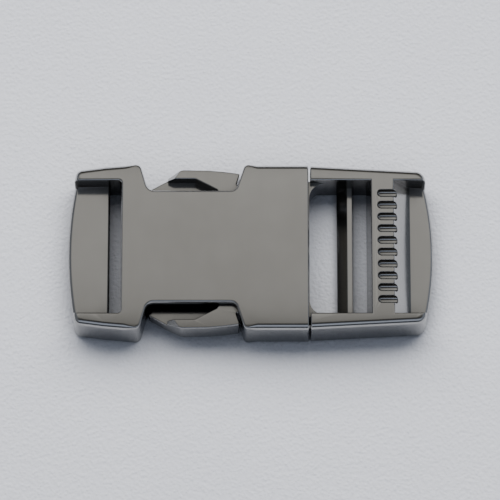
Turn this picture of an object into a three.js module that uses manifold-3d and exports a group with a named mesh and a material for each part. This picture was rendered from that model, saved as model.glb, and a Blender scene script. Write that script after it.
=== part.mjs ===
// A die-cast metal side-release buckle with a strap adjuster, for 25 mm webbing.
// Millimetres, +Z up. The strap runs along X and the squeeze levers face +Y and -Y.
// The origin is the middle of the buckle, on the surface that it lies on.

import * as THREE from 'three';
import { mergeVertices } from 'three/addons/utils/BufferGeometryUtils.js';
import Module from 'manifold-3d';

const wasm = await Module();
wasm.setup();

// Whole buckle
const thickness = 7.6;
const halfLength = 33.5;
const slotHalfWidth = 13.0;
const castEdge = 1.0;
const fineEdge = 0.4;
const runningGap = 0.3;
const endSpare = 3.0;

// Housing
const housingRight = 10.6;
const housingHalfWidth = 16.18;
const housingEndRadius = 74;
const strapSlot = { left: -25.87, right: -23.73 };
const strapBar = { low: 1.2, high: 4.2 };
const cavity = { left: -19.3, halfWidth: 13.6, low: 1.15, high: 6.45 };
const notchFloor = 11.0;

// Adjuster half
const railLeft = 10.93;
const adjusterEndRadius = 61;
const windowLeft = 10.75;
const windowCorner = 3.0;
const collar = { left: 8.6, halfWidth: 13.3, low: 1.5, high: 6.0 };
const tongue = { left: -15.0, halfWidth: 3.9, low: 1.5, high: 6.1 };
const middleBar = { left: 15.46, topLeft: 17.74, topRight: 18.69, right: 19.06, low: 0.9, high: 3.4 };
const gripBar = { left: 21.25, topLeft: 22.1, topRight: 26.2, right: 29.28, low: 1.4 };
const lipHigh = 3.6;
const groove = { count: 10, pitch: 2.32, radius: 0.84, depth: 1.0, left: 23.2, right: 29.0 };

// Latch arms and their hinges
const pivot = { x: 6.3, y: 9.4 };
const lobeRadius = 3.6;
const lobePlate = { low: 1.4, high: 6.2, gapLow: 2.4, gapHigh: 5.2 };
const knuckle = { radius: 2.8, low: 2.7, high: 4.9 };
const pin = { radius: 0.9, holeRadius: 0.98, low: 1.4, high: 6.2 };
const arm = { low: 1.5, step: 4.1, high: 6.2 };

// Return springs
const spring = { x: -5.0, z: 3.8, inner: 2.0, outer: 7.4, coilRadius: 1.15, wireRadius: 0.2, turns: 5 };
const pocket = { radius: 1.65, floor: 1.7 };
const stub = { radius: 0.65, reach: 1.0 };

// Fineness of round stretches
const cornerStep = THREE.MathUtils.degToRad(30);
const roundSteps = 3;
const roundSides = 16;
const cutterOvershoot = 0.6;

const casting = () => new THREE.MeshStandardMaterial({ color: 0x6b6a67, metalness: 0.9, roughness: 0.3 });
const pinSteel = () => new THREE.MeshStandardMaterial({ color: 0x9a9a98, metalness: 1.0, roughness: 0.35 });
const springSteel = () => new THREE.MeshStandardMaterial({ color: 0xb4b4b0, metalness: 1.0, roughness: 0.25 });

// A closed mesh's positions and triangles as a manifold solid.
function solidFromGeometry(geometry) {
  geometry.deleteAttribute('normal');
  geometry.deleteAttribute('uv');
  const merged = mergeVertices(geometry, 1e-5);
  const index = merged.index.array;
  const kept = [];
  for (let i = 0; i < index.length; i += 3) {
    const [a, b, c] = [index[i], index[i + 1], index[i + 2]];
    if (a !== b && b !== c && c !== a) kept.push(a, b, c);
  }
  return new wasm.Manifold(new wasm.Mesh({
    numProp: 3,
    vertProperties: new Float32Array(merged.attributes.position.array),
    triVerts: new Uint32Array(kept),
  }));
}

function geometryFromSolid(solid) {
  const mesh = solid.getMesh();
  const geometry = new THREE.BufferGeometry();
  geometry.setAttribute('position', new THREE.BufferAttribute(mesh.vertProperties, 3));
  geometry.setIndex(new THREE.BufferAttribute(mesh.triVerts, 1));
  return geometry;
}

// Corners are [x, y, radius, edge]. Each becomes one point, or an arc of them, holding the
// direction in which it moves when the outline grows and the radius of its upper and lower edge.
function outlinePoints(corners) {
  const flat = corners.map(([x, y]) => new THREE.Vector2(x, y));
  const ordered = THREE.ShapeUtils.area(flat) > 0 ? corners : [...corners].reverse();
  const points = [];
  ordered.forEach(([x, y, radius = 0, edge = 0], i) => {
    const here = new THREE.Vector2(x, y);
    const before = new THREE.Vector2(...ordered.at(i - 1));
    const after = new THREE.Vector2(...ordered[(i + 1) % ordered.length]);
    const arriving = here.clone().sub(before).normalize();
    const leaving = after.clone().sub(here).normalize();
    const bend = Math.atan2(arriving.cross(leaving), arriving.dot(leaving));
    const outward = new THREE.Vector2(arriving.y, -arriving.x);
    if (radius === 0) {
      const next = new THREE.Vector2(leaving.y, -leaving.x);
      const grow = outward.clone().add(next).divideScalar(1 + outward.dot(next));
      points.push({ at: here, grow, edge });
      return;
    }
    const side = Math.sign(bend);
    const start = here.clone().addScaledVector(arriving, -radius * Math.tan(Math.abs(bend) / 2));
    const centre = start.clone().addScaledVector(outward, -radius * side);
    const steps = Math.max(1, Math.ceil(Math.abs(bend) / cornerStep));
    for (let k = 0; k <= steps; k += 1) {
      const grow = outward.clone().rotateAround(new THREE.Vector2(), bend * k / steps);
      points.push({ at: centre.clone().addScaledVector(grow, radius * side), grow, edge });
    }
  });
  return points;
}

// An upright solid on an outline. A positive edge radius rounds the upper and lower edges off,
// and a negative one flares them, which makes a cutter that leaves a rounded rim.
function upright(corners, low, high, overshoot = 0) {
  const points = outlinePoints(corners);
  const rings = [];
  const addRing = (angle, atTop, beyond) => {
    rings.push(points.map(({ at, grow, edge }) => {
      const place = at.clone().addScaledVector(grow, -edge * (1 - Math.sin(angle)));
      const rise = Math.abs(edge) * (1 - Math.cos(angle)) - beyond;
      return [place.x, place.y, atTop ? high - rise : low + rise];
    }));
  };
  if (overshoot > 0) addRing(0, false, overshoot);
  for (let k = 0; k <= roundSteps; k += 1) addRing(k / roundSteps * Math.PI / 2, false, 0);
  for (let k = roundSteps; k >= 0; k -= 1) addRing(k / roundSteps * Math.PI / 2, true, 0);
  if (overshoot > 0) addRing(0, true, overshoot);

  const count = points.length;
  const index = [];
  for (let r = 0; r + 1 < rings.length; r += 1) {
    for (let i = 0; i < count; i += 1) {
      const [a, b] = [r * count + i, r * count + (i + 1) % count];
      index.push(a, b, b + count, a, b + count, a + count);
    }
  }
  const lastRing = (rings.length - 1) * count;
  const cap = (ring) => THREE.ShapeUtils.triangulateShape(ring.map(([x, y]) => new THREE.Vector2(x, y)), []);
  for (const [a, b, c] of cap(rings[0])) index.push(a, c, b);
  for (const [a, b, c] of cap(rings.at(-1))) index.push(lastRing + a, lastRing + b, lastRing + c);

  const geometry = new THREE.BufferGeometry();
  geometry.setAttribute('position', new THREE.Float32BufferAttribute(rings.flat(2), 3));
  geometry.setIndex(index);
  return solidFromGeometry(geometry);
}

// A bar along Y with the given corners in X and Z.
function barAlongY(section, halfWidth) {
  const shape = new THREE.Shape(section.map(([x, z]) => new THREE.Vector2(x, z)));
  const geometry = new THREE.ExtrudeGeometry(shape, { depth: 2 * halfWidth, bevelEnabled: false });
  geometry.rotateX(Math.PI / 2);
  geometry.translate(0, halfWidth, 0);
  return solidFromGeometry(geometry);
}

function box(left, right, front, rear, low, high) {
  const geometry = new THREE.BoxGeometry(right - left, rear - front, high - low);
  geometry.translate((left + right) / 2, (front + rear) / 2, (low + high) / 2);
  return solidFromGeometry(geometry);
}

// What is cut off a casting between two places along the strap, to leave a square end.
function beyond(left, right) {
  return box(left, right, -housingHalfWidth - 1, housingHalfWidth + 1, -1, thickness + 1);
}

function disc(x, y, radius, low, high, sides = roundSides) {
  const geometry = new THREE.CylinderGeometry(radius, radius, high - low, sides);
  geometry.rotateX(Math.PI / 2);
  geometry.translate(x, y, (low + high) / 2);
  return solidFromGeometry(geometry);
}

function rodAlongY(x, z, radius, front, rear) {
  const geometry = new THREE.CylinderGeometry(radius, radius, rear - front, roundSides);
  geometry.translate(x, (front + rear) / 2, z);
  return solidFromGeometry(geometry);
}

// The half of an outline with y > 0, completed by its mirror image.
function mirrored(half) {
  const other = [...half].reverse().filter(([, y]) => y !== 0);
  return [...half, ...other.map(([x, y, radius, edge]) => [x, -y, radius, edge])];
}

// Points of a shallow arc across the strap end, from the middle outwards.
function endArc(endX, arcRadius, edge) {
  const inwards = -Math.sign(endX);
  return [0, 3.3, 6.6, 9.8, 12.6].map((y) => [endX + inwards * y * y / (2 * arcRadius), y, 0, edge]);
}

const sides = { rear: 1, front: -1 };

// ---- Housing: a flat shell, open on the right, with a strap bar and two side notches ----

function housingOutline() {
  return mirrored([
    [housingRight + endSpare, housingHalfWidth, 0, castEdge],
    [1.2, housingHalfWidth, 0, castEdge],
    [-1.1, housingHalfWidth, 1.0, fineEdge],
    [-2.75, notchFloor, 1.3, fineEdge],
    [-18.83, notchFloor, 1.6, fineEdge],
    [-20.27, housingHalfWidth, 1.2, fineEdge],
    [-23.0, housingHalfWidth, 0, castEdge],
    [-26.7, 15.84, 0, castEdge],
    [-30.2, 15.36, 0, castEdge],
    [-32.02, 15.1, 1.3, castEdge],
    ...endArc(-halfLength, housingEndRadius, castEdge).reverse(),
  ]);
}

function strapOpening() {
  return upright([
    [strapSlot.right, slotHalfWidth, 0.5, -fineEdge],
    [-halfLength - 4, slotHalfWidth, 0, -fineEdge],
    [-halfLength - 4, -slotHalfWidth, 0, -fineEdge],
    [strapSlot.right, -slotHalfWidth, 0.5, -fineEdge],
  ], 0, thickness, cutterOvershoot);
}

function housingStrapBar() {
  const overlap = 0.5;
  const barEdge = 0.8;
  return upright(mirrored([
    [strapSlot.left, slotHalfWidth + overlap, 0, 0.5],
    [-32.1, slotHalfWidth + overlap, 0, barEdge],
    ...endArc(-halfLength, housingEndRadius, barEdge).reverse(),
  ]), strapBar.low, strapBar.high);
}

function housingCavity() {
  const half = cavity.halfWidth;
  const mouth = housingRight + 1;
  return upright(mirrored([[mouth, half], [cavity.left, half, 2.0]]), cavity.low, cavity.high);
}

function femaleHousing() {
  return upright(housingOutline(), 0, thickness)
    .subtract(beyond(housingRight, housingRight + endSpare + 1))
    .subtract(strapOpening())
    .add(housingStrapBar())
    .subtract(housingCavity());
}

// ---- Adjuster half: side rails, grip bar, strap bar, collar, tongue and hinge lobes in one casting ----

function railBlock() {
  return upright(mirrored([
    ...endArc(halfLength, adjusterEndRadius, castEdge),
    [31.72, 14.9, 1.8, castEdge],
    [30.2, 15.0, 0, castEdge],
    [railLeft - endSpare, 16.25, 0, castEdge],
  ]), 0, thickness).subtract(beyond(railLeft - endSpare - 1, railLeft));
}

function railOpening() {
  return upright([
    [halfLength + 4, slotHalfWidth, 0, -fineEdge],
    [railLeft - 3, slotHalfWidth, 0, -fineEdge],
    [railLeft - 3, -slotHalfWidth, 0, -fineEdge],
    [halfLength + 4, -slotHalfWidth, 0, -fineEdge],
  ], 0, thickness, cutterOvershoot);
}

const barHalfWidth = slotHalfWidth + 0.9;

function middleStrapBar() {
  const { left, topLeft, topRight, right, low, high } = middleBar;
  return barAlongY([[left, low], [right, low], [topRight, high], [topLeft, high]], barHalfWidth);
}

function gripBarWithLip() {
  const { left, topLeft, topRight, right, low } = gripBar;
  const bar = barAlongY([[left, low], [right, low], [right, lipHigh], [topRight, thickness],
    [topLeft, thickness]], barHalfWidth);
  const lip = upright(mirrored([
    ...endArc(halfLength, adjusterEndRadius, 0.7),
    [31.8, slotHalfWidth + 0.4, 0, 0.7],
    [gripBar.topRight, slotHalfWidth + 0.4],
  ]), low, lipHigh);
  return bar.add(lip);
}

function gripGroove(y) {
  const { radius, depth, left, right } = groove;
  const length = right - left - radius;
  const trough = new THREE.CylinderGeometry(radius, radius, length, 12);
  trough.rotateZ(Math.PI / 2);
  trough.translate(right - length / 2, 0, 0);
  const roundEnd = new THREE.SphereGeometry(radius, 12, 6);
  roundEnd.rotateZ(Math.PI / 2);
  roundEnd.translate(left + radius, 0, 0);
  return solidFromGeometry(trough).add(solidFromGeometry(roundEnd))
    .translate([0, y, thickness + radius - depth]);
}

function collarPlate() {
  const { left, halfWidth, low, high } = collar;
  const plate = upright(mirrored([[windowLeft + windowCorner, halfWidth], [left, halfWidth, 1.0]]), low, high);
  const window = upright(mirrored([
    [windowLeft + windowCorner + 2, slotHalfWidth],
    [windowLeft, slotHalfWidth, windowCorner],
  ]), low - 1, high + 1);
  return plate.subtract(window);
}

function tongueBar() {
  const { left, halfWidth, low, high } = tongue;
  return upright(mirrored([[windowLeft, halfWidth], [left, halfWidth, 2.6, fineEdge]]), low, high);
}

function hingeLobe(side) {
  const y = side * pivot.y;
  const reach = 5.0;
  const lobe = disc(pivot.x, y, lobeRadius, lobePlate.low, lobePlate.high, 24)
    .add(box(pivot.x, windowLeft, y - lobeRadius, y + lobeRadius, collar.low, collar.high));
  const gap = disc(pivot.x, y, knuckle.radius + runningGap, lobePlate.gapLow, lobePlate.gapHigh, 24)
    .add(box(pivot.x - reach, pivot.x, y - reach, y + reach, lobePlate.gapLow, lobePlate.gapHigh));
  const hole = disc(pivot.x, y, pin.holeRadius, 0, thickness);
  return lobe.subtract(gap).subtract(hole);
}

function maleFrame() {
  let frame = railBlock()
    .subtract(railOpening())
    .add(middleStrapBar())
    .add(gripBarWithLip())
    .add(collarPlate());
  for (let i = 0; i < groove.count; i += 1) {
    frame = frame.subtract(gripGroove((i - (groove.count - 1) / 2) * groove.pitch));
  }
  for (const side of Object.values(sides)) {
    const y = side * pivot.y;
    const knuckleRoom = knuckle.radius + runningGap;
    frame = frame.subtract(disc(pivot.x, y, knuckleRoom, lobePlate.gapLow, lobePlate.gapHigh, 24));
    frame = frame.add(hingeLobe(side));
  }
  frame = frame.add(tongueBar());
  for (const side of Object.values(sides)) {
    const ends = [side * pocket.floor, side * (tongue.halfWidth + 1)].sort((a, b) => a - b);
    frame = frame.subtract(rodAlongY(spring.x, spring.z, pocket.radius, ...ends));
  }
  return frame;
}

// ---- Latch arms: a squeeze pad and catch on a shank that turns on a pin ----

function onSide(side, corners) {
  return corners.map(([x, y, radius, edge]) => [x, side * y, radius, edge]);
}

const squeezeFace = [
  [-2.65, 12.6, 0, fineEdge / 2],
  [-2.35, 13.6, 0, fineEdge / 2],
  [-1.95, 14.9, 0.35, fineEdge / 2],
  [-4.9, 15.3, 0, fineEdge / 2],
  [-7.6, 15.55, 0, fineEdge / 2],
  [-12.6, 15.65, 1.0, fineEdge / 2],
  [-15.2, 14.36, 0, fineEdge / 2],
];

function armPlate(side) {
  return upright(onSide(side, [
    [4.2, 12.0],
    [2.6, 12.6, 0, fineEdge / 2],
    ...squeezeFace,
    [-18.85, 12.25, 0.5, fineEdge / 2],
    [-17.9, 10.9, 0, fineEdge / 2],
    [-16.0, 9.6, 0, fineEdge / 2],
    [-8.0, 8.2, 0, fineEdge / 2],
    [0.0, 7.0, 0, fineEdge / 2],
    [4.2, 6.8],
  ]), arm.low, arm.step);
}

function armPad(side) {
  const pad = upright(onSide(side, [
    [4.2, 12.0],
    [2.6, 12.6, 0, fineEdge / 2],
    ...squeezeFace,
    [-15.2, 13.85, 0, fineEdge / 2],
    [-10.2, 13.85, 0, fineEdge / 2],
    [-6.2, 11.7, 0, fineEdge / 2],
    [-4.6, 8.4, 0, fineEdge / 2],
    [0.0, 7.0, 0, fineEdge / 2],
    [4.2, 6.8],
  ]), arm.step - 1, arm.high);
  const rampEnd = -13.6;
  const ramp = barAlongY([[-16, arm.step], [-15.2, arm.step], [rampEnd, arm.high + 0.01],
    [rampEnd, arm.high + 1], [-16, arm.high + 1]], housingHalfWidth);
  return pad.subtract(ramp);
}

function armKnuckle(side) {
  const y = side * pivot.y;
  const neckHalf = 2.2;
  return disc(pivot.x, y, knuckle.radius, knuckle.low, knuckle.high, 24)
    .add(box(1.5, pivot.x, y - neckHalf, y + neckHalf, knuckle.low, knuckle.high));
}

function springStub(side) {
  const ends = [side * 8.4, side * (7.75 - stub.reach)].sort((a, b) => a - b);
  return rodAlongY(spring.x, spring.z, stub.radius, ...ends);
}

function latchArm(side) {
  const y = side * pivot.y;
  const clearance = disc(pivot.x, y, lobeRadius + runningGap, 0, thickness, 24);
  return armPlate(side)
    .add(armPad(side))
    .subtract(clearance)
    .add(armKnuckle(side))
    .add(springStub(side))
    .subtract(disc(pivot.x, y, pin.holeRadius, 0, thickness));
}

function pivotPin(side) {
  return disc(pivot.x, side * pivot.y, pin.radius, pin.low, pin.high);
}

// ---- Return spring: a compression coil between the tongue's pocket and an arm ----

class Helix extends THREE.Curve {
  constructor(side) {
    super();
    this.side = side;
  }

  getPoint(t, target = new THREE.Vector3()) {
    const angle = 2 * Math.PI * spring.turns * t;
    const inset = spring.wireRadius;
    const y = THREE.MathUtils.lerp(spring.inner + inset, spring.outer - inset, t);
    const x = spring.x + spring.coilRadius * Math.cos(angle);
    return target.set(x, this.side * y, spring.z + spring.coilRadius * Math.sin(angle));
  }
}

function returnSpring(side) {
  const wire = new THREE.Shape();
  const wireSides = 6;
  for (let i = 0; i < wireSides; i += 1) {
    const angle = 2 * Math.PI * i / wireSides;
    const [x, y] = [spring.wireRadius * Math.cos(angle), spring.wireRadius * Math.sin(angle)];
    if (i === 0) wire.moveTo(x, y);
    else wire.lineTo(x, y);
  }
  const stepsPerTurn = 10;
  const geometry = new THREE.ExtrudeGeometry(wire, {
    steps: spring.turns * stepsPerTurn,
    extrudePath: new Helix(side),
    bevelEnabled: false,
  });
  return solidFromGeometry(geometry);
}

function piece(name, solid, material) {
  const mesh = new THREE.Mesh(geometryFromSolid(solid), material);
  mesh.name = name;
  return mesh;
}

const buckle = new THREE.Group();
buckle.add(piece('female_housing', femaleHousing(), casting()));
buckle.add(piece('male_frame', maleFrame(), casting()));
for (const [name, side] of Object.entries(sides)) {
  buckle.add(piece(`${name}_latch_arm`, latchArm(side), casting()));
  buckle.add(piece(`${name}_pivot_pin`, pivotPin(side), pinSteel()));
  buckle.add(piece(`${name}_return_spring`, returnSpring(side), springSteel()));
}

export default buckle;
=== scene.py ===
"""A cast metal side-release buckle with a strap adjuster, lying on a pale surface.

Lengths are in millimetres unless a name ends in _m. X runs along the strap, from the housing to the
adjuster, the squeeze levers face +Y and -Y, and +Z is up.
"""

import math

import bmesh
import bpy
from mathutils import Matrix, Vector


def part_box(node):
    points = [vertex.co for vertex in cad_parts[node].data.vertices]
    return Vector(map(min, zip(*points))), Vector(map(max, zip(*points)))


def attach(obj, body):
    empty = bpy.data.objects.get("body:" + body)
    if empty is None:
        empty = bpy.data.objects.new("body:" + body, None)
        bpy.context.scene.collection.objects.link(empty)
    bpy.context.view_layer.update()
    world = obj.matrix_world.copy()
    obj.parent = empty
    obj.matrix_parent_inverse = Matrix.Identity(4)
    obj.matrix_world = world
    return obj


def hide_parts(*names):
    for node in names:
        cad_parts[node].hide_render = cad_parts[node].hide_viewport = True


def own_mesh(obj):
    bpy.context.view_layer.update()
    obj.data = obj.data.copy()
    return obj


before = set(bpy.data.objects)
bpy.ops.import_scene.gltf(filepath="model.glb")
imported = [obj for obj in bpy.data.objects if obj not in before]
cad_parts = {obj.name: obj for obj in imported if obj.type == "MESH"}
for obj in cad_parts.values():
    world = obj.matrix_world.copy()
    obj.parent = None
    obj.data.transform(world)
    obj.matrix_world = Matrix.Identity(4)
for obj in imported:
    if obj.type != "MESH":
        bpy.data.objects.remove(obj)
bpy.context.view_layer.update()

MM = 0.001
# How finely rounded edges and rounded corners are divided
ROUND_STEPS = 7
CORNER_STEP = math.radians(7.5)
# Points closer than this are one point: while pieces are built, and once they are finished
SAME_POINT = 1e-5
SAME_FINISHED_POINT = 0.002


def box_mm(node):
    """The lowest and highest corners of a CAD node."""
    low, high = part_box(node)
    return low / MM, high / MM


# ---- Sizes, from the frame and from a few driving dimensions ----

_, housing_high = box_mm("female_housing")
frame_low, frame_high = box_mm("male_frame")
arm_low, arm_high = box_mm("rear_latch_arm")
pin_low, pin_high = box_mm("rear_pivot_pin")
spring_low, spring_high = box_mm("rear_return_spring")

THICKNESS = housing_high.z
HALF_LENGTH = frame_high.x
HOUSING_RIGHT = housing_high.x
HOUSING_HALF_WIDTH = housing_high.y
HALVES_GAP = 0.33
RAIL_LEFT = HOUSING_RIGHT + HALVES_GAP
SLOT_HALF_WIDTH = 13.0
HOUSING_END_RADIUS, ADJUSTER_END_RADIUS = 74, 61
CAST_EDGE = 1.0
FINE_EDGE = 0.4
END_EDGE = 0.25
END_SPARE = 3.0
RUNNING_GAP = 0.3
CUTTER_REACH = 4
CUTTER_OVERSHOOT = 0.6

STRAP_SLOT_LEFT, STRAP_SLOT_RIGHT = -25.87, -23.73
STRAP_BAR_LOW, STRAP_BAR_HIGH = 1.2, 4.2
CAVITY_LEFT, CAVITY_HALF_WIDTH = -19.3, 13.6
CAVITY_LOW, CAVITY_HIGH = 1.15, 6.45
NOTCH_FLOOR = 11.0

WINDOW_LEFT, WINDOW_CORNER = 10.75, 3.0
COLLAR_LEFT, COLLAR_HALF_WIDTH = 8.6, 13.3
COLLAR_LOW, COLLAR_HIGH = 1.5, 6.0
TONGUE_LEFT, TONGUE_HALF_WIDTH = frame_low.x, 3.9
TONGUE_LOW, TONGUE_HIGH = 1.5, 6.1
BAR_HALF_WIDTH = SLOT_HALF_WIDTH + 0.9
MIDDLE_BAR_LEFT, MIDDLE_BAR_RIGHT = 15.46, 19.06
MIDDLE_BAR_TOP_LEFT, MIDDLE_BAR_TOP_RIGHT = 17.74, 18.69
MIDDLE_BAR_LOW, MIDDLE_BAR_HIGH = 0.9, 3.4
GRIP_LEFT, GRIP_RIGHT = 21.25, 29.28
GRIP_TOP_LEFT, GRIP_TOP_RIGHT = 22.1, 26.2
LIP_LOW, LIP_HIGH = 1.4, 3.6
GROOVE_COUNT, GROOVE_PITCH, GROOVE_WIDTH, GROOVE_DEPTH = 10, 2.32, 1.46, 0.95
GROOVE_FLOOR_EDGE, GROOVE_RIM = 0.6, 0.06
GROOVE_LEFT, GROOVE_RIGHT = 23.2, 27.15

PIVOT = Vector((pin_low + pin_high) / 2)
LOBE_RADIUS = 3.6
LOBE_LOW, LOBE_HIGH = pin_low.z, pin_high.z
LOBE_GAP_LOW, LOBE_GAP_HIGH = 2.4, 5.2
KNUCKLE_RADIUS, KNUCKLE_LOW, KNUCKLE_HIGH = 2.8, 2.7, 4.9
PIN_RADIUS, PIN_HOLE_RADIUS = 0.9, 0.98
ARM_LOW, ARM_STEP, ARM_HIGH = arm_low.z, 4.1, arm_high.z

SPRING_CENTRE = Vector((spring_low + spring_high) / 2)
SPRING_INNER, SPRING_OUTER = spring_low.y, spring_high.y
COIL_RADIUS, WIRE_RADIUS, SPRING_TURNS = 1.15, 0.2, 5
POCKET_RADIUS, POCKET_FLOOR = 1.65, 1.7
STUB_RADIUS, STUB_ROOT, STUB_TIP = 0.65, 8.4, 6.75


# ---- Mesh tools ----


def mesh_object(name, vertices, faces):
    mesh = bpy.data.meshes.new(name)
    mesh.from_pydata([tuple(v) for v in vertices], [], faces)
    mesh.validate()
    piece = bpy.data.objects.new(name, mesh)
    bpy.context.scene.collection.objects.link(piece)
    return piece


def signed_area(corners):
    total = 0.0
    for i, corner in enumerate(corners):
        after = corners[(i + 1) % len(corners)]
        total += corner[0] * after[1] - after[0] * corner[1]
    return total / 2


def outline_points(corners):
    """Corners are (x, y, radius, edge). Each gives one point, or an arc of them: its place, the
    direction in which it moves as the outline grows, and the radius of its upper and lower edge."""
    full = [tuple(c) + (0.0,) * (4 - len(c)) for c in corners]
    if signed_area(full) < 0:
        full.reverse()
    points = []
    for i, (x, y, radius, edge) in enumerate(full):
        here = Vector((x, y))
        arriving = (here - Vector(full[i - 1][:2])).normalized()
        leaving = (Vector(full[(i + 1) % len(full)][:2]) - here).normalized()
        bend = math.atan2(arriving.cross(leaving), arriving.dot(leaving))
        outward = Vector((arriving.y, -arriving.x))
        if radius == 0:
            following = Vector((leaving.y, -leaving.x))
            points.append((here, (outward + following) / (1 + outward.dot(following)), edge))
            continue
        side = math.copysign(1, bend)
        start = here - arriving * radius * math.tan(abs(bend) / 2)
        centre = start - outward * radius * side
        steps = max(1, math.ceil(abs(bend) / CORNER_STEP))
        for k in range(steps + 1):
            grow = Matrix.Rotation(bend * k / steps, 2) @ outward
            points.append((centre + grow * radius * side, grow, edge))
    return points


def upright(name, corners, low, high, overshoot=0.0, top_edge=None):
    """An upright solid on an outline. A positive edge radius rounds its upper and lower edges off,
    and a negative one flares them, for a cutter that leaves a rounded rim. top_edge is the upper
    edge's radius, where it differs."""
    points = outline_points(corners)
    angles = [math.pi / 2 * k / ROUND_STEPS for k in range(ROUND_STEPS + 1)]
    levels = [(angle, False, 0.0) for angle in angles]
    levels += [(angle, True, 0.0) for angle in reversed(angles)]
    if overshoot:
        levels = [(0.0, False, overshoot)] + levels + [(0.0, True, overshoot)]
    vertices = []
    for angle, at_top, beyond in levels:
        for place, grow, lower_edge in points:
            edge = top_edge if at_top and top_edge is not None else lower_edge
            spot = place - grow * edge * (1 - math.sin(angle))
            rise = abs(edge) * (1 - math.cos(angle)) - beyond
            vertices.append((spot.x, spot.y, high - rise if at_top else low + rise))
    count = len(points)
    faces = []
    for level in range(len(levels) - 1):
        for i in range(count):
            a = level * count + i
            b = level * count + (i + 1) % count
            faces.append((a, b, b + count, a + count))
    faces.append(tuple(reversed(range(count))))
    faces.append(tuple(range((len(levels) - 1) * count, len(levels) * count)))
    return welded(mesh_object(name, vertices, faces))


def welded(piece):
    work = bmesh.new()
    work.from_mesh(piece.data)
    bmesh.ops.remove_doubles(work, verts=work.verts, dist=SAME_POINT)
    bmesh.ops.dissolve_degenerate(work, edges=work.edges, dist=SAME_POINT)
    bmesh.ops.recalc_face_normals(work, faces=work.faces)
    bmesh.ops.triangulate(work, faces=[f for f in work.faces if len(f.verts) > 4])
    work.to_mesh(piece.data)
    work.free()
    return piece


def bar_along_y(name, section, half_width):
    """A bar along Y. Its section's corners are (x, z), or (x, z, radius) where they are rounded."""
    outline = [place for place, _, _ in outline_points(section)]
    count = len(outline)
    vertices = [(p.x, y, p.y) for y in (-half_width, half_width) for p in outline]
    faces = [(i, (i + 1) % count, (i + 1) % count + count, i + count) for i in range(count)]
    faces.append(tuple(range(count)))
    faces.append(tuple(reversed(range(count, 2 * count))))
    return welded(mesh_object(name, vertices, faces))


def box(name, low, high):
    section = [(low[0], low[2]), (high[0], low[2]), (high[0], high[2]), (low[0], high[2])]
    piece = bar_along_y(name, section, (high[1] - low[1]) / 2)
    piece.data.transform(Matrix.Translation((0, (low[1] + high[1]) / 2, 0)))
    return piece


def turned(name, profile, centre, axis="Z", sides=48):
    """A solid of revolution. The profile is (radius, height) and starts and ends on the axis."""
    vertices = []
    for radius, height in profile:
        ring = 1 if radius == 0 else sides
        for k in range(ring):
            angle = 2 * math.pi * (k + 0.5) / sides
            vertices.append(Vector((radius * math.cos(angle), radius * math.sin(angle), height)))
    faces = []
    start = 0
    for (radius, _), (next_radius, _) in zip(profile, profile[1:]):
        here = start
        after = here + (1 if radius == 0 else sides)
        for k in range(sides):
            m = (k + 1) % sides
            if radius == 0:
                faces.append((here, after + m, after + k))
            elif next_radius == 0:
                faces.append((here + k, here + m, after))
            else:
                faces.append((here + k, here + m, after + m, after + k))
        start = after
    if axis == "Y":
        vertices = [Vector((v.x, v.z, -v.y)) for v in vertices]
    return welded(mesh_object(name, [v + Vector(centre) for v in vertices], faces))


def disc(name, x, y, radius, low, high, sides=72):
    return turned(name, [(0, low), (radius, low), (radius, high), (0, high)], (x, y, 0), "Z", sides)


def combine(target, other, operation):
    """target joined with other, or cut by it. other is used up."""
    modifier = target.modifiers.new("combine", "BOOLEAN")
    modifier.operation = operation
    modifier.solver = "MANIFOLD"
    modifier.object = other
    graph = bpy.context.evaluated_depsgraph_get()
    result = bpy.data.meshes.new_from_object(target.evaluated_get(graph))
    target.modifiers.clear()
    old = target.data
    target.data = result
    bpy.data.meshes.remove(old)
    bpy.data.objects.remove(other)
    return target


def cut(target, *others):
    for other in others:
        combine(target, other, "DIFFERENCE")
    return target


def join(target, *others):
    for other in others:
        combine(target, other, "UNION")
    return target


def mirrored(half):
    """The half of an outline with y > 0, completed by its mirror image."""
    other = [c for c in reversed(half) if c[1] != 0]
    return list(half) + [(c[0], -c[1], *c[2:]) for c in other]


def on_side(side, corners):
    return [(c[0], side * c[1], *c[2:]) for c in corners]


def end_arc(end_x, arc_radius, edge):
    """Points of a shallow arc across a strap end, from the middle outwards."""
    inwards = -math.copysign(1, end_x)
    steps = 12
    reach = 12.6
    heights = [reach * k / steps for k in range(steps + 1)]
    return [(end_x + inwards * y * y / (2 * arc_radius), y, 0, edge) for y in heights]


def edges_at(work, x):
    return [e for e in work.edges if all(abs(v.co.x - x) < 1e-3 for v in e.verts)]


def sliced_end(piece, end_x, radius):
    """Cuts piece off square at end_x, on the side away from its middle, and rounds the cut's edge."""
    work = bmesh.new()
    work.from_mesh(piece.data)
    middle = Vector(piece.bound_box[0]).lerp(Vector(piece.bound_box[6]), 0.5)
    outwards = math.copysign(1, end_x - middle.x)
    everything = work.verts[:] + work.edges[:] + work.faces[:]
    bmesh.ops.bisect_plane(work, geom=everything, dist=1e-4, plane_co=(end_x, 0, 0),
                           plane_no=(outwards, 0, 0), clear_outer=True)
    bmesh.ops.contextual_create(work, geom=edges_at(work, end_x))
    bmesh.ops.recalc_face_normals(work, faces=work.faces)
    rim = edges_at(work, end_x)
    bmesh.ops.bevel(work, geom=rim, offset=radius, segments=4, profile=0.5, affect="EDGES")
    bmesh.ops.triangulate(work, faces=[f for f in work.faces if len(f.verts) > 4])
    work.to_mesh(piece.data)
    work.free()
    return piece


def shade_by_angle(piece, angle=35.0):
    """Smooth shading, except across edges sharper than angle, in degrees."""
    for polygon in piece.data.polygons:
        polygon.use_smooth = True
    work = bmesh.new()
    work.from_mesh(piece.data)
    for edge in work.edges:
        if len(edge.link_faces) == 2 and edge.calc_face_angle() > math.radians(angle):
            edge.smooth = False
    work.to_mesh(piece.data)
    work.free()


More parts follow.
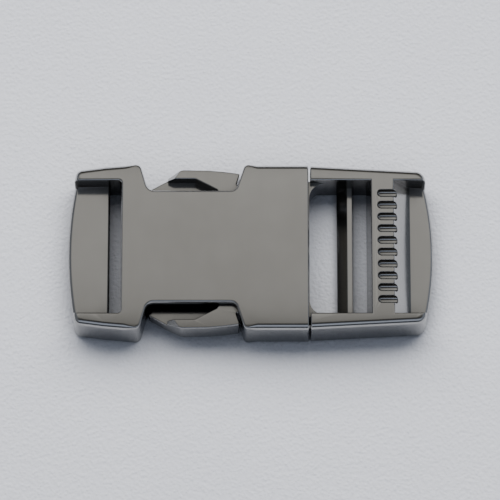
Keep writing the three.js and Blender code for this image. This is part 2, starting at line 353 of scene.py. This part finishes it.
def finish_casting(piece, sharp=38.0):
    """Slivers left by the cuts are merged, millimetres become metres, and the shading is smooth
    except across edges sharper than sharp, in degrees."""
    work = bmesh.new()
    work.from_mesh(piece.data)
    bmesh.ops.remove_doubles(work, verts=work.verts, dist=SAME_FINISHED_POINT)
    bmesh.ops.dissolve_degenerate(work, edges=work.edges, dist=SAME_FINISHED_POINT)
    work.to_mesh(piece.data)
    work.free()
    piece.data.transform(Matrix.Scale(MM, 4))
    shade_by_angle(piece, sharp)
    shading = piece.modifiers.new("even_shading", "WEIGHTED_NORMAL")
    shading.keep_sharp = True
    shading.weight = 100
    return piece


def place(piece, node, body, slot, material):
    piece.data.materials.clear()
    piece.data.materials.append(material)
    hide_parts(node)
    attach(piece, body)
    return piece


# ---- Materials ----

CASTING_COLOUR, CASTING_HAZE = (0.335, 0.331, 0.320), (0.36, 0.357, 0.347)
LEVER_COLOUR, LEVER_HAZE = (0.325, 0.321, 0.308), (0.35, 0.345, 0.335)
PIN_COLOUR = (0.56, 0.56, 0.55)
WIRE_COLOUR = (0.62, 0.62, 0.6)
FLOOR_COLOUR = (0.69, 0.71, 0.77)
FLOOR_COLOUR_LIGHT = (0.72, 0.74, 0.795)
FLOOR_COLOUR_DARK = (0.5, 0.52, 0.57)


def new_material(name):
    material = bpy.data.materials.new(name)
    material.use_nodes = True
    tree = material.node_tree
    shader = tree.nodes["Principled BSDF"]
    return material, tree, shader


def add_node(tree, kind, **values):
    node = tree.nodes.new(kind)
    for name, value in values.items():
        setattr(node, name, value)
    return node


def noise(tree, scale, detail=2.0, roughness=0.5, stretch=(1, 1, 1)):
    """Noise in object space, with its scale per metre."""
    place_node = add_node(tree, "ShaderNodeTexCoord")
    mapping = add_node(tree, "ShaderNodeMapping")
    mapping.inputs["Scale"].default_value = stretch
    texture = add_node(tree, "ShaderNodeTexNoise")
    texture.inputs["Scale"].default_value = scale
    texture.inputs["Detail"].default_value = detail
    texture.inputs["Roughness"].default_value = roughness
    tree.links.new(place_node.outputs["Object"], mapping.inputs["Vector"])
    tree.links.new(mapping.outputs["Vector"], texture.inputs["Vector"])
    return texture.outputs["Fac"]


def ranged(tree, value, from_low, from_high, to_low, to_high):
    node = add_node(tree, "ShaderNodeMapRange")
    node.inputs["From Min"].default_value = from_low
    node.inputs["From Max"].default_value = from_high
    node.inputs["To Min"].default_value = to_low
    node.inputs["To Max"].default_value = to_high
    tree.links.new(value, node.inputs["Value"])
    return node.outputs["Result"]


def calculated(tree, operation, first, second):
    node = add_node(tree, "ShaderNodeMath", operation=operation)
    for socket, value in ((node.inputs[0], first), (node.inputs[1], second)):
        if isinstance(value, (int, float)):
            socket.default_value = value
        else:
            tree.links.new(value, socket)
    return node.outputs[0]


def mixed_colour(tree, factor, first, second):
    node = add_node(tree, "ShaderNodeMix", data_type="RGBA")
    for socket, value in ((node.inputs[6], first), (node.inputs[7], second)):
        if isinstance(value, tuple):
            socket.default_value = (*value, 1)
        else:
            tree.links.new(value, socket)
    tree.links.new(factor, node.inputs[0])
    return node.outputs[2]


def bump(tree, height, distance, strength, normal=None):
    node = add_node(tree, "ShaderNodeBump")
    node.inputs["Distance"].default_value = distance
    node.inputs["Strength"].default_value = strength
    tree.links.new(height, node.inputs["Height"])
    if normal is not None:
        tree.links.new(normal, node.inputs["Normal"])
    return node.outputs["Normal"]


def crown_height(tree):
    """The slight crown of a cast face across the strap, steeper towards its edges, in metres."""
    middle_per_m, edge_per_m5 = 0.6, 1.2e7
    coordinates = add_node(tree, "ShaderNodeTexCoord")
    parts = add_node(tree, "ShaderNodeSeparateXYZ")
    tree.links.new(coordinates.outputs["Object"], parts.inputs[0])
    square = calculated(tree, "MULTIPLY", parts.outputs["Y"], parts.outputs["Y"])
    sixth_power = calculated(tree, "POWER", square, 3)
    middle_fall = calculated(tree, "MULTIPLY", square, -middle_per_m)
    edge_fall = calculated(tree, "MULTIPLY", sixth_power, -edge_per_m5)
    return calculated(tree, "ADD", middle_fall, edge_fall)


def plated_casting(name, body_colour, haze_colour):
    """Gunmetal plating over a cast surface: a slight crown and waviness, fine grain, hazy patches,
    worn edges, and painted shade where it is enclosed."""
    # The second number sets how dark the painted shade in enclosed places gets, as a share of the body
    # colour.
    worn_gain, painted_shade_share = 1.55, 0.4
    enclosure_reach_m, edge_softness_m = 0.005, 0.00012
    wave_height_m, grain_height_m = 0.00003, 0.000006
    material, tree, shader = new_material(name)
    shader.inputs["Metallic"].default_value = 1.0
    haze = ranged(tree, noise(tree, 90, 3.0, 0.55), 0.35, 0.7, 0.0, 1.0)
    colour = mixed_colour(tree, haze, body_colour, haze_colour)
    geometry = add_node(tree, "ShaderNodeNewGeometry")
    wear_amount = ranged(tree, geometry.outputs["Pointiness"], 0.53, 0.62, 0.0, 0.35)
    worn = tuple(min(1.0, c * worn_gain) for c in body_colour)
    plated = mixed_colour(tree, wear_amount, colour, worn)
    # Painted shade: ambient occlusion darkens the base colour where the metal is enclosed, standing in for
    # the shade in recesses and between parts.
    openness = add_node(tree, "ShaderNodeAmbientOcclusion", samples=8)
    openness.inputs["Distance"].default_value = enclosure_reach_m
    enclosed = ranged(tree, openness.outputs["AO"], 0.4, 0.8, 0.75, 0.0)
    painted_shade_colour = tuple(c * painted_shade_share for c in body_colour)
    tree.links.new(mixed_colour(tree, enclosed, plated, painted_shade_colour), shader.inputs["Base Color"])
    grain = noise(tree, 5200, 3.0, 0.6)
    streaks = noise(tree, 900, 2.0, 0.5, (1.0, 0.15, 1.0))
    rough = ranged(tree, streaks, 0.3, 0.7, 0.14, 0.17)
    tree.links.new(rough, shader.inputs["Roughness"])
    soft_edge = add_node(tree, "ShaderNodeBevel", samples=6)
    soft_edge.inputs["Radius"].default_value = edge_softness_m
    crown = bump(tree, crown_height(tree), 1.0, 1.0, soft_edge.outputs["Normal"])
    waves = bump(tree, noise(tree, 260, 1.0, 0.4), wave_height_m, 0.2, crown)
    tree.links.new(bump(tree, grain, grain_height_m, 0.35, waves), shader.inputs["Normal"])
    return material


def drawn_steel(name, colour, roughness_low, roughness_high):
    """Plain steel with fine lines round its drawn or turned surface."""
    line_height_m = 0.00001
    material, tree, shader = new_material(name)
    shader.inputs["Metallic"].default_value = 1.0
    lines = noise(tree, 2500, 2.0, 0.5, (1.0, 1.0, 6.0))
    darker = tuple(c * 0.8 for c in colour)
    tree.links.new(mixed_colour(tree, lines, darker, colour), shader.inputs["Base Color"])
    tree.links.new(ranged(tree, lines, 0.3, 0.7, roughness_low, roughness_high), shader.inputs["Roughness"])
    tree.links.new(bump(tree, lines, line_height_m, 0.3), shader.inputs["Normal"])
    return material


def grained_surface(name):
    """A pale blue-grey sheet with a fine pebbled grain, and painted shade close to whatever lies on it."""
    shading_reach_m, shaded_share = 0.012, 0.06
    pebble_height_m, pit_depth_m = 0.00016, 0.00010
    material, tree, shader = new_material(name)
    blotches = ranged(tree, noise(tree, 28, 3.0, 0.6), 0.3, 0.7, 0.0, 1.0)
    base = mixed_colour(tree, blotches, FLOOR_COLOUR, FLOOR_COLOUR_LIGHT)
    pebbles = add_node(tree, "ShaderNodeTexVoronoi", feature="SMOOTH_F1")
    coordinates = add_node(tree, "ShaderNodeTexCoord")
    tree.links.new(coordinates.outputs["Object"], pebbles.inputs["Vector"])
    pebbles.inputs["Scale"].default_value = 1700
    domes = ranged(tree, pebbles.outputs["Distance"], 0.0, 0.7, 1.0, 0.0)
    pits = ranged(tree, noise(tree, 1500, 3.0, 0.6), 0.35, 0.65, 0.0, 1.0)
    speckle = mixed_colour(tree, ranged(tree, pits, 0.0, 1.0, 0.12, 0.0), base, FLOOR_COLOUR_DARK)
    # Painted shadow: ambient occlusion darkens the floor near and under the buckle and inside its openings,
    # standing in for the shadow it casts.
    openness = add_node(tree, "ShaderNodeAmbientOcclusion", samples=8)
    openness.inputs["Distance"].default_value = shading_reach_m
    floor_shade_amount = ranged(tree, openness.outputs["AO"], 0.15, 0.9, 0.55, 0.0)
    painted_floor_shade = tuple(c * shaded_share for c in FLOOR_COLOUR_DARK)
    tree.links.new(mixed_colour(tree, floor_shade_amount, speckle, painted_floor_shade), shader.inputs["Base Color"])
    shader.inputs["Roughness"].default_value = 0.75
    shader.inputs["Specular IOR Level"].default_value = 0.25
    coarse = bump(tree, domes, pebble_height_m, 0.6)
    tree.links.new(bump(tree, pits, pit_depth_m, 0.5, coarse), shader.inputs["Normal"])
    return material


# ---- Female housing ----


def housing_outline():
    return mirrored([
        (HOUSING_RIGHT + END_SPARE, HOUSING_HALF_WIDTH, 0, CAST_EDGE),
        (1.2, HOUSING_HALF_WIDTH, 0, CAST_EDGE),
        (-1.1, HOUSING_HALF_WIDTH, 1.0, FINE_EDGE),
        (-2.75, NOTCH_FLOOR, 1.3, FINE_EDGE),
        (-18.83, NOTCH_FLOOR, 1.6, FINE_EDGE),
        (-20.27, HOUSING_HALF_WIDTH, 1.2, FINE_EDGE),
        (-23.0, HOUSING_HALF_WIDTH, 0, CAST_EDGE),
        (-26.7, 15.84, 0, CAST_EDGE),
        (-30.2, 15.36, 0, CAST_EDGE),
        (-32.02, 15.1, 1.3, CAST_EDGE),
        *reversed(end_arc(-HALF_LENGTH, HOUSING_END_RADIUS, CAST_EDGE)),
    ])


def strap_opening():
    far = -HALF_LENGTH - CUTTER_REACH
    return upright("strap_opening", [
        (STRAP_SLOT_RIGHT, SLOT_HALF_WIDTH, 0.5, -FINE_EDGE),
        (far, SLOT_HALF_WIDTH, 0, -FINE_EDGE),
        (far, -SLOT_HALF_WIDTH, 0, -FINE_EDGE),
        (STRAP_SLOT_RIGHT, -SLOT_HALF_WIDTH, 0.5, -FINE_EDGE),
    ], 0, THICKNESS, CUTTER_OVERSHOOT)


def housing_strap_bar():
    outer = SLOT_HALF_WIDTH + 0.5
    inner_edge, outer_edge = 0.5, 0.8
    return upright("strap_bar", mirrored([
        (STRAP_SLOT_LEFT, outer, 0, inner_edge),
        (-32.1, outer, 0, outer_edge),
        *reversed(end_arc(-HALF_LENGTH, HOUSING_END_RADIUS, outer_edge)),
    ]), STRAP_BAR_LOW, STRAP_BAR_HIGH)


def housing_cavity():
    mouth = HOUSING_RIGHT + 1
    corners = mirrored([(mouth, CAVITY_HALF_WIDTH), (CAVITY_LEFT, CAVITY_HALF_WIDTH, 2.0)])
    return upright("cavity", corners, CAVITY_LOW, CAVITY_HIGH)


def build_housing(material):
    shell = upright("housing_casting", housing_outline(), 0, THICKNESS)
    sliced_end(shell, HOUSING_RIGHT, END_EDGE)
    cut(shell, strap_opening())
    join(shell, housing_strap_bar())
    cut(shell, housing_cavity())
    finish_casting(shell)
    return place(shell, "female_housing", "housing", "plated_casting", material)


# ---- Adjuster half ----


def rail_block():
    return upright("adjuster_casting", mirrored([
        *end_arc(HALF_LENGTH, ADJUSTER_END_RADIUS, CAST_EDGE),
        (31.72, 14.9, 1.8, CAST_EDGE),
        (30.2, 15.0, 0, CAST_EDGE),
        (RAIL_LEFT - END_SPARE, 16.25, 0, CAST_EDGE),
    ]), 0, THICKNESS)


def rail_opening():
    far = HALF_LENGTH + CUTTER_REACH
    near = RAIL_LEFT - END_SPARE
    return upright("rail_opening", [
        (far, SLOT_HALF_WIDTH, 0, -FINE_EDGE),
        (near, SLOT_HALF_WIDTH, 0, -FINE_EDGE),
        (near, -SLOT_HALF_WIDTH, 0, -FINE_EDGE),
        (far, -SLOT_HALF_WIDTH, 0, -FINE_EDGE),
    ], 0, THICKNESS, CUTTER_OVERSHOOT)


def middle_bar():
    lower_edge, upper_edge = 0.3, 0.15
    return bar_along_y("middle_bar", [
        (MIDDLE_BAR_LEFT, MIDDLE_BAR_LOW, lower_edge),
        (MIDDLE_BAR_RIGHT, MIDDLE_BAR_LOW, lower_edge),
        (MIDDLE_BAR_TOP_RIGHT, MIDDLE_BAR_HIGH, upper_edge),
        (MIDDLE_BAR_TOP_LEFT, MIDDLE_BAR_HIGH, upper_edge),
    ], BAR_HALF_WIDTH)


def grip_bar():
    return bar_along_y("grip_bar", [
        (GRIP_LEFT, LIP_LOW, 0.4),
        (GRIP_RIGHT, LIP_LOW),
        (GRIP_RIGHT, LIP_HIGH),
        (GRIP_TOP_RIGHT, THICKNESS, 0.35),
        (GRIP_TOP_LEFT, THICKNESS, 0.3),
    ], BAR_HALF_WIDTH)


def lip():
    outer = SLOT_HALF_WIDTH + 0.4
    lip_edge = 0.7
    return upright("lip", mirrored([
        *end_arc(HALF_LENGTH, ADJUSTER_END_RADIUS, lip_edge),
        (31.8, outer, 0, lip_edge),
        (GRIP_TOP_RIGHT, outer),
    ]), LIP_LOW, LIP_HIGH)


def pill(name, y, half, lower_edge, low, high, upper_edge):
    """A round-ended bar along X in a groove's place. It reaches half its width on each side of y."""
    spread = half - GROOVE_WIDTH / 2
    left, right = GROOVE_LEFT - spread, GROOVE_RIGHT + spread
    # A little under half the width, so that the two rounded corners of an end don't meet
    radius = half * 0.999
    return upright(name, [
        (left, y - half, radius, lower_edge),
        (right, y - half, radius, lower_edge),
        (right, y + half, radius, lower_edge),
        (left, y + half, radius, lower_edge),
    ], low, high, 0, upper_edge)


def grip_grooves():
    """Round-ended grooves in the grip bar's top. Their right ends run out on its slope."""
    half = GROOVE_WIDTH / 2
    floor = THICKNESS - GROOVE_DEPTH
    overlap = 0.0005
    grooves = None
    for i in range(GROOVE_COUNT):
        y = (i - (GROOVE_COUNT - 1) / 2) * GROOVE_PITCH
        groove = pill("groove", y, half, GROOVE_FLOOR_EDGE, floor, THICKNESS, -GROOVE_RIM)
        over = pill("groove_top", y, half + GROOVE_RIM, 0, THICKNESS - overlap, THICKNESS + 1, None)
        join(groove, over)
        grooves = groove if grooves is None else join(grooves, groove)
    return grooves


def collar():
    inner = WINDOW_LEFT + WINDOW_CORNER
    plate = upright("collar", mirrored([
        (inner, COLLAR_HALF_WIDTH),
        (COLLAR_LEFT, COLLAR_HALF_WIDTH, 1.0),
    ]), COLLAR_LOW, COLLAR_HIGH)
    window = upright("window", mirrored([
        (inner + 2, SLOT_HALF_WIDTH),
        (WINDOW_LEFT, SLOT_HALF_WIDTH, WINDOW_CORNER),
    ]), COLLAR_LOW - 1, COLLAR_HIGH + 1)
    return cut(plate, window)


def tongue():
    return upright("tongue", mirrored([
        (WINDOW_LEFT, TONGUE_HALF_WIDTH),
        (TONGUE_LEFT, TONGUE_HALF_WIDTH, 2.6, FINE_EDGE),
    ]), TONGUE_LOW, TONGUE_HIGH)


def knuckle_room(side):
    radius = KNUCKLE_RADIUS + RUNNING_GAP
    return disc("knuckle_room", PIVOT.x, side * PIVOT.y, radius, LOBE_GAP_LOW, LOBE_GAP_HIGH)


def hinge_lobe(side):
    """A round eye for the pin, with a slot through its middle that takes the arm's knuckle."""
    y = side * PIVOT.y
    reach = 5.0
    lobe = disc("lobe", PIVOT.x, y, LOBE_RADIUS, LOBE_LOW, LOBE_HIGH)
    join(lobe, box(
        "lobe_root",
        (PIVOT.x, y - LOBE_RADIUS, COLLAR_LOW),
        (WINDOW_LEFT, y + LOBE_RADIUS, COLLAR_HIGH),
    ))
    cut(
        lobe,
        knuckle_room(side),
        box("arm_room", (PIVOT.x - reach, y - reach, LOBE_GAP_LOW), (PIVOT.x, y + reach, LOBE_GAP_HIGH)),
        disc("pin_hole", PIVOT.x, y, PIN_HOLE_RADIUS, 0, THICKNESS),
    )
    return lobe


def spring_pocket(side):
    ends = sorted((side * POCKET_FLOOR, side * (TONGUE_HALF_WIDTH + 1)))
    profile = [(0, ends[0]), (POCKET_RADIUS, ends[0]), (POCKET_RADIUS, ends[1]), (0, ends[1])]
    return turned("pocket", profile, (SPRING_CENTRE.x, 0, SPRING_CENTRE.z), "Y")


def build_adjuster(material):
    casting = sliced_end(rail_block(), RAIL_LEFT, END_EDGE)
    cut(casting, rail_opening())
    join(casting, middle_bar(), grip_bar(), lip(), collar())
    cut(casting, grip_grooves())
    for side in (1, -1):
        cut(casting, knuckle_room(side))
        join(casting, hinge_lobe(side))
    join(casting, tongue())
    for side in (1, -1):
        cut(casting, spring_pocket(side))
    finish_casting(casting)
    return place(casting, "male_frame", "male_half", "plated_casting", material)


# ---- Latch arms, pins and springs ----

ARM_EDGE = 0.22
# The lever's outer face, which its plate and its pad share
SQUEEZE_FACE = [
    (-2.65, 12.6, 0.2, ARM_EDGE),
    (-2.35, 13.6, 0, ARM_EDGE),
    (-1.95, 14.9, 0.35, ARM_EDGE),
    (-4.9, 15.3, 0, ARM_EDGE),
    (-7.6, 15.55, 0, ARM_EDGE),
    (-12.6, 15.65, 1.6, ARM_EDGE),
    (-15.2, 14.36, 0, ARM_EDGE),
]


def arm_plate(side):
    return upright("arm_plate", on_side(side, [
        (4.2, 12.0),
        (2.6, 12.6, 0, ARM_EDGE),
        *SQUEEZE_FACE,
        (-18.85, 12.25, 0.5, ARM_EDGE),
        (-17.9, 10.9, 0.6, ARM_EDGE),
        (-16.0, 9.6, 1.0, ARM_EDGE),
        (-8.0, 8.2, 0, ARM_EDGE),
        (0.0, 7.0, 0, ARM_EDGE),
        (4.2, 6.8),
    ]), ARM_LOW, ARM_STEP)


def pad_facet(side):
    """The cutter for the slanting facet where the pad meets the arm's diagonal nose."""
    normal = Vector((-0.62, side * 0.42, 0.66)).normalized()
    anchor = Vector((-13.5, side * 14.6, ARM_HIGH))
    across = normal.cross(Vector((0, 0, 1))).normalized()
    along = normal.cross(across)
    half, depth = 2.6, 3.0
    square = ((-1, -1), (1, -1), (1, 1), (-1, 1))
    base = [anchor + across * half * u + along * half * v for u, v in square]
    vertices = base + [corner + normal * depth for corner in base]
    faces = [(0, 1, 2, 3), (7, 6, 5, 4)]
    faces += [(i, i + 4, (i + 1) % 4 + 4, (i + 1) % 4) for i in range(4)]
    return welded(mesh_object("facet", vertices, faces))


def arm_pad(side):
    pad = upright("arm_pad", on_side(side, [
        (4.2, 12.0),
        (2.6, 12.6, 0, ARM_EDGE),
        *SQUEEZE_FACE,
        (-15.2, 13.85, 0, ARM_EDGE),
        (-10.2, 13.85, 0.8, ARM_EDGE),
        (-6.2, 11.7, 0, ARM_EDGE),
        (-4.6, 8.4, 0.8, ARM_EDGE),
        (0.0, 7.0, 0, ARM_EDGE),
        (4.2, 6.8),
    ]), ARM_STEP - 1, ARM_HIGH)
    return cut(pad, pad_facet(side))


def arm_knuckle(side):
    y = side * PIVOT.y
    neck_left, neck_half = 1.5, 2.2
    knuckle = disc("knuckle", PIVOT.x, y, KNUCKLE_RADIUS, KNUCKLE_LOW, KNUCKLE_HIGH)
    neck = box("neck", (neck_left, y - neck_half, KNUCKLE_LOW), (PIVOT.x, y + neck_half, KNUCKLE_HIGH))
    return join(knuckle, neck)


def spring_stub(side):
    ends = sorted((side * STUB_ROOT, side * STUB_TIP))
    profile = [(0, ends[0]), (STUB_RADIUS, ends[0]), (STUB_RADIUS, ends[1]), (0, ends[1])]
    return turned("stub", profile, (SPRING_CENTRE.x, 0, SPRING_CENTRE.z), "Y", 32)


def build_arm(name, side, material):
    y = side * PIVOT.y
    arm = arm_plate(side)
    arm.name = f"{name}_squeeze_arm"
    join(arm, arm_pad(side))
    cut(arm, disc("clearance", PIVOT.x, y, LOBE_RADIUS + RUNNING_GAP, 0, THICKNESS))
    join(arm, arm_knuckle(side), spring_stub(side))
    cut(arm, disc("pin_hole", PIVOT.x, y, PIN_HOLE_RADIUS, 0, THICKNESS))
    finish_casting(arm)
    return place(arm, f"{name}_latch_arm", f"{name}_arm", "plated_lever", material)


def build_pin(name, side, material):
    """A turned pin with small chamfers and a dimple in each end."""
    chamfer = 0.15
    dimple_depth, dimple_radius = 0.2, 0.35
    profile = [
        (0, LOBE_LOW + dimple_depth),
        (dimple_radius, LOBE_LOW),
        (PIN_RADIUS - chamfer, LOBE_LOW),
        (PIN_RADIUS, LOBE_LOW + chamfer),
        (PIN_RADIUS, LOBE_HIGH - chamfer),
        (PIN_RADIUS - chamfer, LOBE_HIGH),
        (dimple_radius, LOBE_HIGH),
        (0, LOBE_HIGH - dimple_depth),
    ]
    pin = turned(f"{name}_hinge_pin", profile, (PIVOT.x, side * PIVOT.y, 0), "Z", 64)
    pin.data.transform(Matrix.Scale(MM, 4))
    shade_by_angle(pin)
    return place(pin, f"{name}_pivot_pin", "male_half", "pin_steel", material)


def spring_point(turn, side):
    """A point on a compression spring's centre line. Three quarters of a turn lie closed at each end."""
    closed = 0.75
    low = SPRING_INNER + WIRE_RADIUS
    high = SPRING_OUTER - WIRE_RADIUS
    tight_pitch = 2.0 * WIRE_RADIUS * 1.02
    if turn < closed:
        y = low + tight_pitch * turn
    elif turn > SPRING_TURNS - closed:
        y = high - tight_pitch * (SPRING_TURNS - turn)
    else:
        share = (turn - closed) / (SPRING_TURNS - 2 * closed)
        y = (low + tight_pitch * closed) * (1 - share) + (high - tight_pitch * closed) * share
    angle = 2 * math.pi * turn
    return Vector((
        SPRING_CENTRE.x + COIL_RADIUS * math.cos(angle),
        side * y,
        SPRING_CENTRE.z + COIL_RADIUS * math.sin(angle),
    ))


def build_spring(name, side, material):
    steps_per_turn, wire_sides = 40, 12
    count = SPRING_TURNS * steps_per_turn
    centres = [spring_point(SPRING_TURNS * k / count, side) for k in range(count + 1)]
    middle = Vector((SPRING_CENTRE.x, 0, SPRING_CENTRE.z))
    vertices, faces = [], []
    for k, centre in enumerate(centres):
        along = (centres[min(k + 1, count)] - centres[max(k - 1, 0)]).normalized()
        out = centre - middle
        out.y = 0
        out.normalize()
        across = along.cross(out).normalized()
        for s in range(wire_sides):
            angle = 2 * math.pi * s / wire_sides
            vertices.append(centre + (out * math.cos(angle) + across * math.sin(angle)) * WIRE_RADIUS)
    for k in range(count):
        for s in range(wire_sides):
            a = k * wire_sides + s
            b = k * wire_sides + (s + 1) % wire_sides
            faces.append((a, b, b + wire_sides, a + wire_sides))
    faces.append(tuple(reversed(range(wire_sides))))
    faces.append(tuple(range(count * wire_sides, (count + 1) * wire_sides)))
    spring = welded(mesh_object(f"{name}_coil_spring", vertices, faces))
    spring.data.transform(Matrix.Scale(MM, 4))
    shade_by_angle(spring)
    place(spring, f"{name}_return_spring", "male_half", "spring_steel", material)
    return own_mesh(spring)


# ---- The surface, the light and the camera ----

KEY_WATTS = 27.0
KEY_COLOUR = (1.0, 0.985, 0.97)
SKY_STRENGTH = 1.6


def build_floor(material):
    half = 1500
    corners = [(-half, -half, 0), (half, -half, 0), (half, half, 0), (-half, half, 0)]
    floor = mesh_object("surface", corners, [(0, 1, 2, 3)])
    floor.data.transform(Matrix.Scale(MM, 4))
    floor.data.materials.append(material)
    return floor


def build_sky():
    """A dim studio with a soft warm panel above and behind, and a bluish glow in front."""
    world = bpy.data.worlds.new("studio")
    bpy.context.scene.world = world
    world.use_nodes = True
    tree = world.node_tree
    background = tree.nodes["Background"]
    direction = add_node(tree, "ShaderNodeTexCoord")
    parts = add_node(tree, "ShaderNodeSeparateXYZ")
    tree.links.new(direction.outputs["Generated"], parts.inputs[0])
    tilt = calculated(tree, "ARCTAN2", parts.outputs["Y"], parts.outputs["Z"])
    share = ranged(tree, tilt, -math.pi / 2, math.pi / 2, 0.0, 1.0)
    ramp = add_node(tree, "ShaderNodeValToRGB")
    tree.links.new(share, ramp.inputs[0])
    cool, warm = (0.86, 0.95, 1.15), (1.02, 1.0, 0.96)
    # Degrees from straight overhead, towards the rear where positive, then the brightness
    front_stops = [(-90, 0.06), (-64, 0.08), (-52, 0.50), (-40, 0.60), (-30, 0.30), (-20, 0.07)]
    panel_stops = [(-8, 0.05), (6, 0.07), (13, 0.30), (18, 0.40), (23, 0.49), (29, 0.53), (34, 0.48)]
    rear_stops = [(43, 0.12), (56, 0.08), (90, 0.08)]
    stops = [(*stop, cool) for stop in front_stops]
    stops += [(*stop, warm) for stop in panel_stops + rear_stops]
    elements = ramp.color_ramp.elements
    elements.remove(elements[-1])
    for i, (degrees, level, tint) in enumerate(stops):
        element = elements[0] if i == 0 else elements.new((degrees + 90) / 180)
        element.color = (*(level * c for c in tint), 1)
    right_wall, left_wall = (0.22, 0.24, 0.28), (0.16, 0.17, 0.19)
    rightwards = ranged(tree, parts.outputs["X"], 0.35, 0.75, 0.0, 1.0)
    with_right = mixed_colour(tree, rightwards, ramp.outputs["Color"], right_wall)
    leftwards = ranged(tree, parts.outputs["X"], -0.25, -0.6, 0.0, 1.0)
    surroundings = mixed_colour(tree, leftwards, with_right, left_wall)
    tree.links.new(surroundings, background.inputs["Color"])
    background.inputs["Strength"].default_value = SKY_STRENGTH
    return world


def build_key_light():
    """A very large soft light above and behind. It lights surfaces but isn't seen in the metal."""
    width_m, depth_m = 2.2, 0.9
    data = bpy.data.lights.new("key", "AREA")
    data.shape = "RECTANGLE"
    data.size = width_m
    data.size_y = depth_m
    data.energy = KEY_WATTS
    data.color = KEY_COLOUR
    light = bpy.data.objects.new("key", data)
    bpy.context.scene.collection.objects.link(light)
    tilt = math.radians(-38)
    distance_m = 0.9
    light.location = distance_m * Vector((0, -math.sin(tilt), math.cos(tilt)))
    light.rotation_euler = (tilt, 0, 0)
    light.visible_glossy = False
    return light


def build_camera():
    """A long lens looking down from the front, 22 degrees off the vertical."""
    tilt = math.radians(22)
    distance_m = 0.9
    view_width_m = 0.0913
    target_m = Vector((-0.00012, -0.00085, THICKNESS * MM))
    data = bpy.data.cameras.new("camera")
    data.sensor_width = 36
    data.lens = data.sensor_width * distance_m / view_width_m
    data.clip_end = 10
    camera = bpy.data.objects.new("camera", data)
    bpy.context.scene.collection.objects.link(camera)
    camera.location = target_m + distance_m * Vector((0, -math.sin(tilt), math.cos(tilt)))
    camera.rotation_euler = (tilt, 0, 0)
    bpy.context.scene.camera = camera
    return camera


build_camera()
build_sky()
build_key_light()
build_floor(grained_surface("pale_grained_surface"))

casting_metal = plated_casting("gunmetal_casting", CASTING_COLOUR, CASTING_HAZE)
lever_metal = plated_casting("gunmetal_lever", LEVER_COLOUR, LEVER_HAZE)
pin_metal = drawn_steel("turned_pin_steel", PIN_COLOUR, 0.22, 0.34)
wire_metal = drawn_steel("spring_wire_steel", WIRE_COLOUR, 0.18, 0.3)

build_housing(casting_metal)
build_adjuster(casting_metal)
for arm_name, arm_side in (("rear", 1), ("front", -1)):
    build_arm(arm_name, arm_side, lever_metal)
    build_pin(arm_name, arm_side, pin_metal)
    build_spring(arm_name, arm_side, wire_metal)
